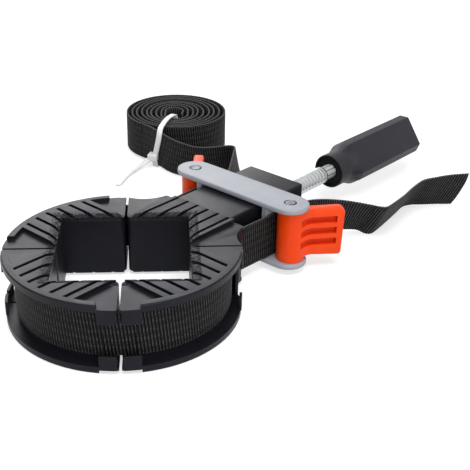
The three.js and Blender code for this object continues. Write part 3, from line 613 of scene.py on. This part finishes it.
def webbing():
    """Woven ribs across the strap: dark between them, with painted highlights on the ribs' crests,
    broken by the warp's small bumps, and on the woven edges.
    """
    look = Look("webbing", (0.0015, 0.0015, 0.0016), 0.62, specular=0.08)
    rib = look.attribute("rib")
    yarn = look.math("FRACT", look.math("DIVIDE", look.attribute("across"), YARN_PITCH))
    bead = look.math("SINE", look.math("MULTIPLY", yarn, math.pi))
    fuzz = look.noise(0.0009, 4)
    # Painted highlight: the ribs' crests are painted lighter where the warp's bumps rise
    crest = look.math("MULTIPLY", look.ramp(rib, 0.66, 0.98), look.ramp(bead, -0.3, 0.8))
    light = look.math("MULTIPLY", crest, look.ramp(fuzz, 0.2, 0.6))
    look.mix_color(light, (0.125, 0.124, 0.127))
    # Painted highlight: the woven edges are painted lighter
    look.mix_color(look.ramp(rib, 1, RIM), (0.085, 0.084, 0.086))
    look.vary_roughness(fuzz, 0.12)
    look.bump(look.math("MULTIPLY", bead, look.ramp(rib, 0.1, 0.8)), 0.00012, 0.8)
    look.bump(fuzz, 0.00005, 0.5)
    look.shader.inputs["Sheen Weight"].default_value = 0.03
    look.shader.inputs["Sheen Roughness"].default_value = 0.4
    return look.material


# Meshes
def mesh_piece(name, vertices, faces, material, sharp=35):
    mesh = bpy.data.meshes.new(name)
    mesh.from_pydata([tuple(v) for v in vertices], [], faces)
    return finish_piece(name, mesh, material, sharp)


def finish_piece(name, mesh, material, sharp=35):
    mesh.materials.clear()
    mesh.materials.append(material)
    mesh.shade_smooth()
    mesh.set_sharp_from_angle(angle=math.radians(sharp))
    piece = add_object(name, mesh)
    return piece


def grid_faces(rows, columns, closed_rows=False):
    """The faces between rings of points, and between the last ring and the first where closed."""
    faces = []
    for i in range(rows if closed_rows else rows - 1):
        for k in range(columns):
            a, b = i * columns, (i + 1) % rows * columns
            n = (k + 1) % columns
            faces.append((a + k, a + n, b + n, b + k))
    return faces


def lofted(rings):
    """Vertices and faces of rings of points, one after another, with both ends capped."""
    count = len(rings[0])
    faces = grid_faces(len(rings), count)
    last = (len(rings) - 1) * count
    faces.append(tuple(range(count - 1, -1, -1)))
    faces.append(tuple(range(last, last + count)))
    return [p for ring in rings for p in ring], faces


def mark_hollow_shade(mesh):
    """Give each face the share of the directions above it in which the mesh is close, for painted shade.
    """
    places = [vertex.co for vertex in mesh.vertices]
    tree = BVHTree.FromPolygons(places, [face.vertices[:] for face in mesh.polygons])
    shares = []
    for face in mesh.polygons:
        turn = face.normal.to_track_quat("Z", "Y")
        start = face.center + face.normal * HOLLOW_START
        hits = 0
        for k in range(HOLLOW_RAYS):
            up = (k + 0.5) / HOLLOW_RAYS
            away, angle = math.sqrt(1 - up * up), k * math.pi * GOLDEN_TURN
            ray = turn @ Vector((away * math.cos(angle), away * math.sin(angle), up))
            hits += tree.ray_cast(start, ray, HOLLOW_REACH)[0] is not None
        shares.append(hits / HOLLOW_RAYS)
    layer = mesh.attributes.new("hollow", "FLOAT", "FACE")
    layer.data.foreach_set("value", np.array(shares, np.float32))


def round_edges(piece, width):
    bevel = piece.modifiers.new("edges", "BEVEL")
    bevel.width = width
    bevel.segments = EDGE_SEGMENTS
    return bevel


def finer(node, material, edge, paint_hollow_shade=False):
    """A copy of a CAD node with its edges rounded, which stands for it."""
    source = frame["nodes"][node]
    shape = bmesh.new()
    shape.from_mesh(source.data)
    bmesh.ops.remove_doubles(shape, verts=shape.verts, dist=MERGE_DISTANCE)
    bmesh.ops.dissolve_limit(shape, angle_limit=FLAT_ANGLE, verts=shape.verts, edges=shape.edges)
    mesh = bpy.data.meshes.new(node + "_body")
    shape.to_mesh(mesh)
    shape.free()
    if paint_hollow_shade:
        mark_hollow_shade(mesh)
    piece = finish_piece(node + "_body", mesh, material)
    bevel = round_edges(piece, edge)
    bevel.limit_method = "ANGLE"
    bevel.angle_limit = EDGE_ANGLE
    bevel.harden_normals = True
    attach(piece, source["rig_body"])
    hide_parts(node)


# Lines of points
def unit(rows):
    return rows / np.linalg.norm(rows, axis=1)[:, None]


def lengths_along(points):
    return np.concatenate([[0], np.cumsum(np.linalg.norm(np.diff(points, axis=0), axis=1))])


def smooth_route(points, step):
    """Points at an even step along a smooth curve through points, an array of any width."""
    points = np.asarray(points, float)
    padded = np.vstack([2 * points[0] - points[1], points, 2 * points[-1] - points[-2]])
    dense = []
    for i in range(1, len(padded) - 2):
        a, b, c, d = padded[i - 1 : i + 3]
        for t in np.linspace(0, 1, ROUTE_SAMPLES, endpoint=False):
            dense.append(
                b
                + (c - a) * t / 2
                + (2 * a - 5 * b + 4 * c - d) * t**2 / 2
                + (3 * b - a - 3 * c + d) * t**3 / 2
            )
    dense.append(padded[-2])
    return even(np.array(dense), step)


def even(points, step):
    """The same line in even steps, measured along its middle where it has two edges."""
    along = lengths_along(points.reshape(len(points), -1, 3).mean(1))
    count = max(2, round(along[-1] / step) + 1)
    at = np.linspace(0, along[-1], count)
    return np.stack([np.interp(at, along, column) for column in points.T], 1)


# The strap as a ribbed strip
def strap_strip(name, edges, material, skew, bulge):
    """A strip through pairs of edge points, with ribs across both faces. Returns it and its length."""
    edges = even(edges, RIB_PITCH / STEPS_PER_RIB)
    low, high = edges[:, :3], edges[:, 3:]
    middle = (low + high) / 2
    along = lengths_along(middle)
    ahead = np.gradient(middle, axis=0)
    heading = unit(ahead)
    across = unit(high - low)
    normal = unit(np.cross(ahead, across))
    half_width = STRAP_WIDTH / 2
    inner = np.linspace(-(half_width - SELVEDGE), half_width - SELVEDGE, STEPS_ACROSS - 1)
    places = np.concatenate([[-half_width], inner, [half_width]])
    vertices, ribs, offsets = [], [], []
    for i in range(len(edges)):
        for face in (1, -1):
            shift = 0 if face > 0 else math.pi / 2
            for place in places[::face]:
                rim = abs(place) > half_width - SELVEDGE / 2
                phase = math.pi * (along[i] + skew * place) / RIB_PITCH + shift
                crest = abs(math.sin(phase)) ** RIB_ROUNDNESS
                height = STRAP_THICKNESS / 2 - RIB_DEPTH * (1 - crest)
                width = place - math.copysign(EDGE_SCALLOP * (1 - crest), place) if rim else place
                level = height * (RIM_LEVEL_SHARE if rim else 1)
                near_end = max(0, 1 - (along[-1] - along[i]) / TAIL_BULGE_LENGTH)
                out = bulge * near_end * (1 - (place / half_width) ** 2)
                point = middle[i] + across[i] * width + normal[i] * level * face
                vertices.append(point + heading[i] * out)
                ribs.append(RIM if rim else crest)
                offsets.append(place)
    ring = 2 * len(places)
    _, faces = lofted([vertices[i * ring : (i + 1) * ring] for i in range(len(edges))])
    piece = mesh_piece(name, vertices, faces, material, sharp=60)
    for label, values in (("rib", ribs), ("across", offsets)):
        layer = piece.data.attributes.new(label, "FLOAT", "POINT")
        layer.data.foreach_set("value", np.array(values, np.float32))
    return piece, float(along[-1])


def upright(points, low=STRAP_LOW):
    """Pairs of edge points of a strap that stands on edge along points."""
    points = np.asarray(points, float)
    floor = np.full(len(points), low)
    return np.column_stack([points[:, :2], floor, points[:, :2], floor + STRAP_WIDTH])


def arc(start, end):
    """Points of the strap's circle round the jaws, between two angles."""
    count = max(2, math.ceil(abs(end - start) * STRAP_RADIUS / RIB_PITCH) + 1)
    angles = np.linspace(start, end, count)
    return np.column_stack([STRAP_RADIUS * np.cos(angles), STRAP_RADIUS * np.sin(angles)])


def route_by_hand(route):
    return smooth_route([[*low, *high] for low, high in route], RIB_PITCH)


def strap_piece(
        name, edges, material, nodes, body=None, between=None,
        skew=-RIB_SKEW, bulge=0):
    """One piece of the strap, which rides on body or goes from one body to another."""
    piece, length = strap_strip(name, edges + np.tile(np.array(DISC), 2), material, skew, bulge)
    if between:
        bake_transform(piece)
    else:
        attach(piece, body)
    if nodes:
        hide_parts(*nodes)


def make_strap_on_jaws(material):
    """The strap from one cam round the jaws to the other, in pieces that lie end to end."""
    quarter = math.pi / 4
    tangent = STRAP_RADIUS * np.array([math.cos(TANGENT), math.sin(TANGENT)])
    pinch = np.array(PINCH[:2])
    guide = np.array(STRAP_GUIDE)
    onward = (guide[1] - guide[3]) / np.linalg.norm(guide[1] - guide[3])
    split = -quarter + GAP_HALF_ANGLE
    joint = FIT / 2

    for side, end in ((1, "right"), (-1, "left")):
        mirror = np.array([side, 1])
        jaw = f"jaw_{end}"
        run = [(pinch[0], CAM_EXIT), pinch, guide[4], guide[3], guide[2] - onward * joint]
        run = np.array(run) * mirror
        strap_piece(
            f"strap_from_cam_{end}", upright(run), material, [f"strap_run_{end}"],
            between=("yoke", "head", (*run[1], 0), (*run[2], 0)),
            skew=-side * RIB_SKEW)
        around = arc(TANGENT, split + joint / STRAP_RADIUS)
        wrap = np.vstack([[guide[2] + onward * joint, guide[1], guide[0]], around]) * mirror
        strap_piece(
            f"strap_on_jaw_{end}", upright(wrap), material, [f"strap_wrap_{end}"],
            between=("head", jaw, (*wrap[2], 0), (*(tangent * mirror), 0)),
            skew=-side * RIB_SKEW)

    bridge = arc(split - joint / STRAP_RADIUS, -quarter - GAP_HALF_ANGLE + joint / STRAP_RADIUS)
    for side, end, far_body in ((1, "right", "strap_far"), (-1, "left", "jaw_far")):
        over = bridge * np.array([side, 1])
        jaw = f"jaw_{end}"
        strap_piece(
            f"strap_over_gap_{end}", upright(over), material, [],
            between=(jaw, far_body, (*over[0], 0), (*over[-1], 0)))
    far_start = -quarter - GAP_HALF_ANGLE - joint / STRAP_RADIUS
    far = arc(far_start, -math.pi - far_start)
    strap_piece(
        "strap_on_jaw_far", upright(far), material, ["strap_wrap_far"], body="strap_far")


def make_free_strap(material):
    """The short end that hangs out of one cam, and the spare strap from the other to its coil."""
    strap_piece(
        "strap_end", route_by_hand(TAIL_ROUTE), material, ["strap_tail"], body="yoke",
        bulge=TAIL_BULGE)
    onto_angle = COIL_START + FIT / COIL_RADIUS
    onto = COIL_CENTRE + COIL_RADIUS * Vector((math.cos(onto_angle), math.sin(onto_angle), 0))
    route = LEAD_ROUTE + [[(onto.x, onto.y, COIL_LIFT), (onto.x, onto.y, COIL_LIFT + STRAP_WIDTH)]]
    strap_piece(
        "strap_to_coil", route_by_hand(route), material, ["strap_lead"], body="yoke")
    strap_piece("strap_spare", wound_strap(), material, ["strap_coil"], body="yoke")


def wound_strap():
    """The coil from its outside to its eye, more and more oval, off the middle and uneven in height."""
    total = (COIL_RADIUS - COIL_EYE_RADIUS) / COIL_PITCH
    turns = np.linspace(0, total, int(total * COIL_STEPS))
    inward = turns / total
    angles = COIL_START - 2 * math.pi * turns
    loose = np.clip(turns / 2 - COIL_TIGHT_SHARE, 0, 1)
    radii = COIL_RADIUS - COIL_PITCH * turns
    radii += COIL_OVAL * inward * (1 + np.cos(2 * (angles - COIL_OVAL_ANGLE))) / 2
    radii += COIL_WANDER * loose * np.sin(angles + COIL_WANDER_RATE * turns)
    waves = np.sin(COIL_RISE_RATE * turns + 1) * np.cos(angles + turns)
    rise = COIL_RISE * loose * (1 + waves) / 2
    x = COIL_CENTRE.x + radii * np.cos(angles) + COIL_DRIFT.x * inward
    y = COIL_CENTRE.y + radii * np.sin(angles) + COIL_DRIFT.y * inward
    edges = upright(np.column_stack([x, y]), COIL_LIFT)
    edges[:, [2, 5]] += rise[:, None]
    return edges


# The cable tie
def band(route, wide, closed=False):
    """A flat band along route, with its rounded section's width along the direction wide."""
    if closed:
        points = closed_route(route)
        ahead = unit(np.roll(points, -1, 0) - np.roll(points, 1, 0))
    else:
        points = smooth_route(route, TIE_WIDTH / 4)
        ahead = unit(np.gradient(points, axis=0))
    side = unit(wide - ahead * (ahead @ wide)[:, None])
    out = np.cross(side, ahead)
    a, b, e = TIE_WIDTH / 2, TIE_THICKNESS / 2, TIE_EDGE
    half = [(a, b - e), (a - e, b), (e - a, b), (-a, b - e)]
    section = half + [(-x, -y) for x, y in half]
    return [
        [DISC + Vector(points[i] + side[i] * x + out[i] * y) for x, y in section]
        for i in range(len(points))]


def closed_route(route):
    """One round of a closed route, cut from a longer line that overlaps its own ends."""
    points = smooth_route([*route[-2:], *route, *route[:3]], TIE_WIDTH / 4)
    near_start = np.linalg.norm(points - np.array(route[0]), axis=1)
    half = len(points) // 2
    return points[np.argmin(near_start[:half]) : half + np.argmin(near_start[half:])]


def make_tie(material):
    """The tie's band as a loop and a free end, with its head between them."""
    leg = np.array(TIE_HEAD_PLACE[:2]) - np.array(COIL_CENTRE[:2])
    wide = np.array([-leg[1], leg[0], 0]) / np.linalg.norm(leg)
    loop = band(TIE_ROUTE, wide, closed=True)
    vertices = [point for ring in loop for point in ring]
    faces = grid_faces(len(loop), len(loop[0]), closed_rows=True)
    tail_vertices, tail_faces = lofted(band(TIE_TAIL, wide))
    faces += [tuple(k + len(vertices) for k in face) for face in tail_faces]
    vertices += tail_vertices
    piece = mesh_piece("cable_tie_band", vertices, faces, material, sharp=50)
    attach(piece, "yoke")
    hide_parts("cable_tie")
    make_tie_head(material, piece, Vector(wide))


def make_tie_head(material, tie, wide):
    """The tie's head, a block with a slot that the band runs through."""
    shape = bmesh.new()
    bmesh.ops.create_cube(shape, size=1)
    bmesh.ops.scale(shape, vec=TIE_HEAD, verts=shape.verts)
    front = max(shape.faces, key=lambda face: face.normal.y)
    bmesh.ops.inset_region(shape, faces=[front], thickness=TIE_SLOT_WALL)
    bmesh.ops.translate(shape, vec=(0, -TIE_SLOT_DEPTH, 0), verts=front.verts)
    mesh = bpy.data.meshes.new("cable_tie_head")
    shape.to_mesh(mesh)
    shape.free()
    x = wide.normalized()
    z = Vector((TIE_HEAD_LEAN, 0, 1)).normalized()
    y = z.cross(x).normalized()
    z = x.cross(y)
    middle = DISC + Vector(TIE_HEAD_PLACE)
    for vertex in mesh.vertices:
        corner = vertex.co
        vertex.co = middle + x * corner.x + y * corner.y + z * corner.z
    piece = finish_piece("cable_tie_head", mesh, material)
    round_edges(piece, TIE_HEAD_EDGE)
    piece.parent = tie


# The screw, with its thread wound as one ridge
def make_screw(material, shank_material):
    """The journal, the thread and the swaged shank as one loft, the shank in its own material."""
    journal_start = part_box("screw")[0].y - DISC.y
    start = journal_start + JOURNAL_LENGTH
    shoulder = THREAD_END + SHANK_SHOULDER
    root = SCREW_RADIUS - THREAD_DEPTH
    rings = [round_ring(JOURNAL_RADIUS, journal_start), round_ring(JOURNAL_RADIUS, start)]
    rows = int((THREAD_END - start) / THREAD_PITCH * THREAD_ROWS)
    for row in range(rows + 1):
        height = (1 - math.cos(2 * math.pi * (row % THREAD_ROWS) / THREAD_ROWS)) / 2
        ring = []
        for k in range(THREAD_STEPS):
            turn = k / THREAD_STEPS
            y = min(start + (row / THREAD_ROWS + turn) * THREAD_PITCH, THREAD_END)
            fade = min(1, max(0, (y - start) / THREAD_PITCH), max(0, (THREAD_END - y) / THREAD_PITCH))
            ring.append(place_round(root + THREAD_DEPTH * height * fade, -turn * 2 * math.pi, y))
        rings.append(ring)
    rings += [round_ring(root, THREAD_END), round_ring(root, shoulder)]
    rings += [faceted_ring(SHANK_RADIUS, y) for y in (shoulder + SHANK_CHAMFER, SHANK_END)]
    vertices, faces = lofted(rings)
    piece = mesh_piece("screw_thread", vertices, faces, material, sharp=50)
    piece.data.materials.append(shank_material)
    # Marks the grooves between the shank's flats, where the material paints shade
    groove_shades = np.zeros(len(vertices), np.float32)
    groove_shades[-2 * THREAD_STEPS :: THREAD_STEPS // SHANK_FACETS] = 1
    piece.data.attributes.new("groove_shade", "FLOAT", "POINT").data.foreach_set("value", groove_shades)
    for face in piece.data.polygons:
        if face.center.y > DISC.y + shoulder:
            face.material_index = 1
    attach(piece, "screw")
    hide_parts("screw")


def place_round(radius, angle, y):
    return DISC + Vector((radius * math.cos(angle), y, SCREW_HEIGHT + radius * math.sin(angle)))


def round_ring(radius, y):
    return [place_round(radius, -2 * math.pi * k / THREAD_STEPS, y) for k in range(THREAD_STEPS)]


def faceted_ring(radius, y):
    """A ring with flats that were swaged along the shank."""
    ring = []
    for k in range(THREAD_STEPS):
        turn = k / THREAD_STEPS
        groove = min(1, SHANK_FACET_STEEPNESS * (1 - abs(2 * (turn * SHANK_FACETS % 1) - 1)))
        ring.append(place_round(radius - SHANK_FACET_DEPTH * (1 - groove), -2 * math.pi * turn, y))
    return ring


# The handle, from its round collar to the flat grip
def grip_outline(inset):
    """The grip's eight-sided outline with small arcs at its corners, as a dense closed line."""
    thick, wide = GRIP_HALF_THICKNESS - inset, GRIP_HALF_WIDTH - inset
    quarter = [(thick, GRIP_FACE_HALF_WIDTH - inset / 2), (GRIP_SIDE_HALF_THICKNESS - inset / 2, wide)]
    corners = quarter + [(-x, z) for x, z in quarter[::-1]]
    corners += [(-x, -z) for x, z in quarter] + [(x, -z) for x, z in quarter[::-1]]
    outline = []
    for i, corner in enumerate(corners):
        at = Vector(corner)
        before = at + (Vector(corners[i - 1]) - at).normalized() * GRIP_EDGE
        after = at + (Vector(corners[(i + 1) % len(corners)]) - at).normalized() * GRIP_EDGE
        for t in np.linspace(0, 1, GRIP_CORNER_STEPS):
            outline.append(before.lerp(at, t).lerp(at.lerp(after, t), t))
    return np.array(outline)


def grip_radii(angles, inset=0.0):
    """How far the outline is from the middle, at each of angles."""
    outline = grip_outline(inset)
    around = np.unwrap(np.arctan2(outline[:, 1], outline[:, 0]))
    order = np.argsort(around % (2 * math.pi))
    around = (around % (2 * math.pi))[order]
    points = outline[order]
    points = np.vstack([points[-1], points, points[0]])
    around = np.concatenate([[around[-1] - 2 * math.pi], around, [around[0] + 2 * math.pi]])
    radii = []
    for angle in angles % (2 * math.pi):
        k = int(np.clip(np.searchsorted(around, angle) - 1, 0, len(around) - 2))
        ray = np.array([math.cos(angle), math.sin(angle)])
        a, b = points[k], points[k + 1]
        edge = b - a
        radii.append((a[0] * edge[1] - a[1] * edge[0]) / (ray[0] * edge[1] - ray[1] * edge[0]))
    return np.array(radii)


def handle_angles():
    """Angles round the handle: an even step, and the grip's corners between."""
    outline = grip_outline(0)
    angles = np.sort(np.concatenate([
        np.arctan2(outline[:, 1], outline[:, 0]) % (2 * math.pi),
        np.arange(0, 2 * math.pi, HANDLE_STEP)]))
    return angles[np.concatenate([[True], np.diff(angles) > HANDLE_LEAST_STEP])]


def handle_sections(angles):
    """Each section's place along the screw and its radii, from inside the socket to the far end."""
    grip = grip_radii(angles)
    collar_end = COLLAR_FACE + COLLAR_LENGTH
    hollow = COLLAR_RADIUS - COLLAR_WALL
    socket = SHANK_RADIUS + FIT
    recess_floor = COLLAR_FACE + COLLAR_RECESS
    lip = COLLAR_WALL / 3
    sections = [
        (COLLAR_FACE + SOCKET_DEPTH, socket),
        (recess_floor, socket),
        (recess_floor, hollow),
        (COLLAR_FACE + lip, hollow),
        (COLLAR_FACE, hollow + lip),
        (COLLAR_FACE, COLLAR_RADIUS - lip),
        (COLLAR_FACE + lip, COLLAR_RADIUS),
        (collar_end, COLLAR_RADIUS),
    ]
    for k in range(1, SHOULDER_RINGS + 1):
        share = k / SHOULDER_RINGS
        eased = share * share * (3 - 2 * share)
        radii = COLLAR_RADIUS + (grip - COLLAR_RADIUS) * eased
        sections.append((collar_end + (GRIP_START - collar_end) * share, radii))
    sections.append((GRIP_END - GRIP_END_CHAMFER, grip))
    for share in GRIP_END_SHARES:
        y = GRIP_END - GRIP_END_CHAMFER * (1 - math.sin(share * math.pi / 2))
        sections.append((y, grip_radii(angles, GRIP_END_CHAMFER * share)))
    return sections


def make_handle(material, socket_material):
    """The handle as one loft, with its socket in a material of its own."""
    angles = handle_angles()
    rings = []
    for y, radii in handle_sections(angles):
        radii = np.broadcast_to(radii, angles.shape)
        rings.append([place_round(radius, angle, y) for radius, angle in zip(radii, angles + GRIP_TURN)])
    vertices, faces = lofted(rings)
    piece = mesh_piece("handle_grip", vertices, faces, material, sharp=32)
    piece.data.materials.append(socket_material)
    for face in piece.data.polygons[: SOCKET_RINGS * len(angles)]:
        face.material_index = 1
    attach(piece, "screw")
    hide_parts("handle")


# The scene
bpy.context.scene.view_settings.view_transform = "Standard"
make_camera()
make_world()
for lamp in LAMPS:
    area_light(*lamp)
make_floor()

BLACK = black_plastic()
STEEL = zinc_steel()
PIN_STEEL = pin_steel()
ORANGE = orange_plastic()
WEBBING = webbing()

make_strap_on_jaws(WEBBING)
make_free_strap(WEBBING)
make_screw(STEEL, shank_steel())
make_handle(handle_plastic(), socket_plastic())
for jaw in ("head_body", "jaw_left", "jaw_far", "jaw_right"):
    finer(jaw, BLACK, JAW_EDGE)
finer("yoke", cast_grey(), YOKE_EDGE)
for end in ("left", "right"):
    finer(f"cam_lever_{end}", ORANGE, LEVER_EDGE, paint_hollow_shade=True)
    finer(f"cam_pin_{end}", PIN_STEEL, PIN_EDGE)
make_tie(white_nylon())
for node in ("cross_nut", "thrust_disc", "thrust_washer", "retaining_ring"):
    frame["nodes"][node].data.materials.clear()
    frame["nodes"][node].data.materials.append(STEEL)
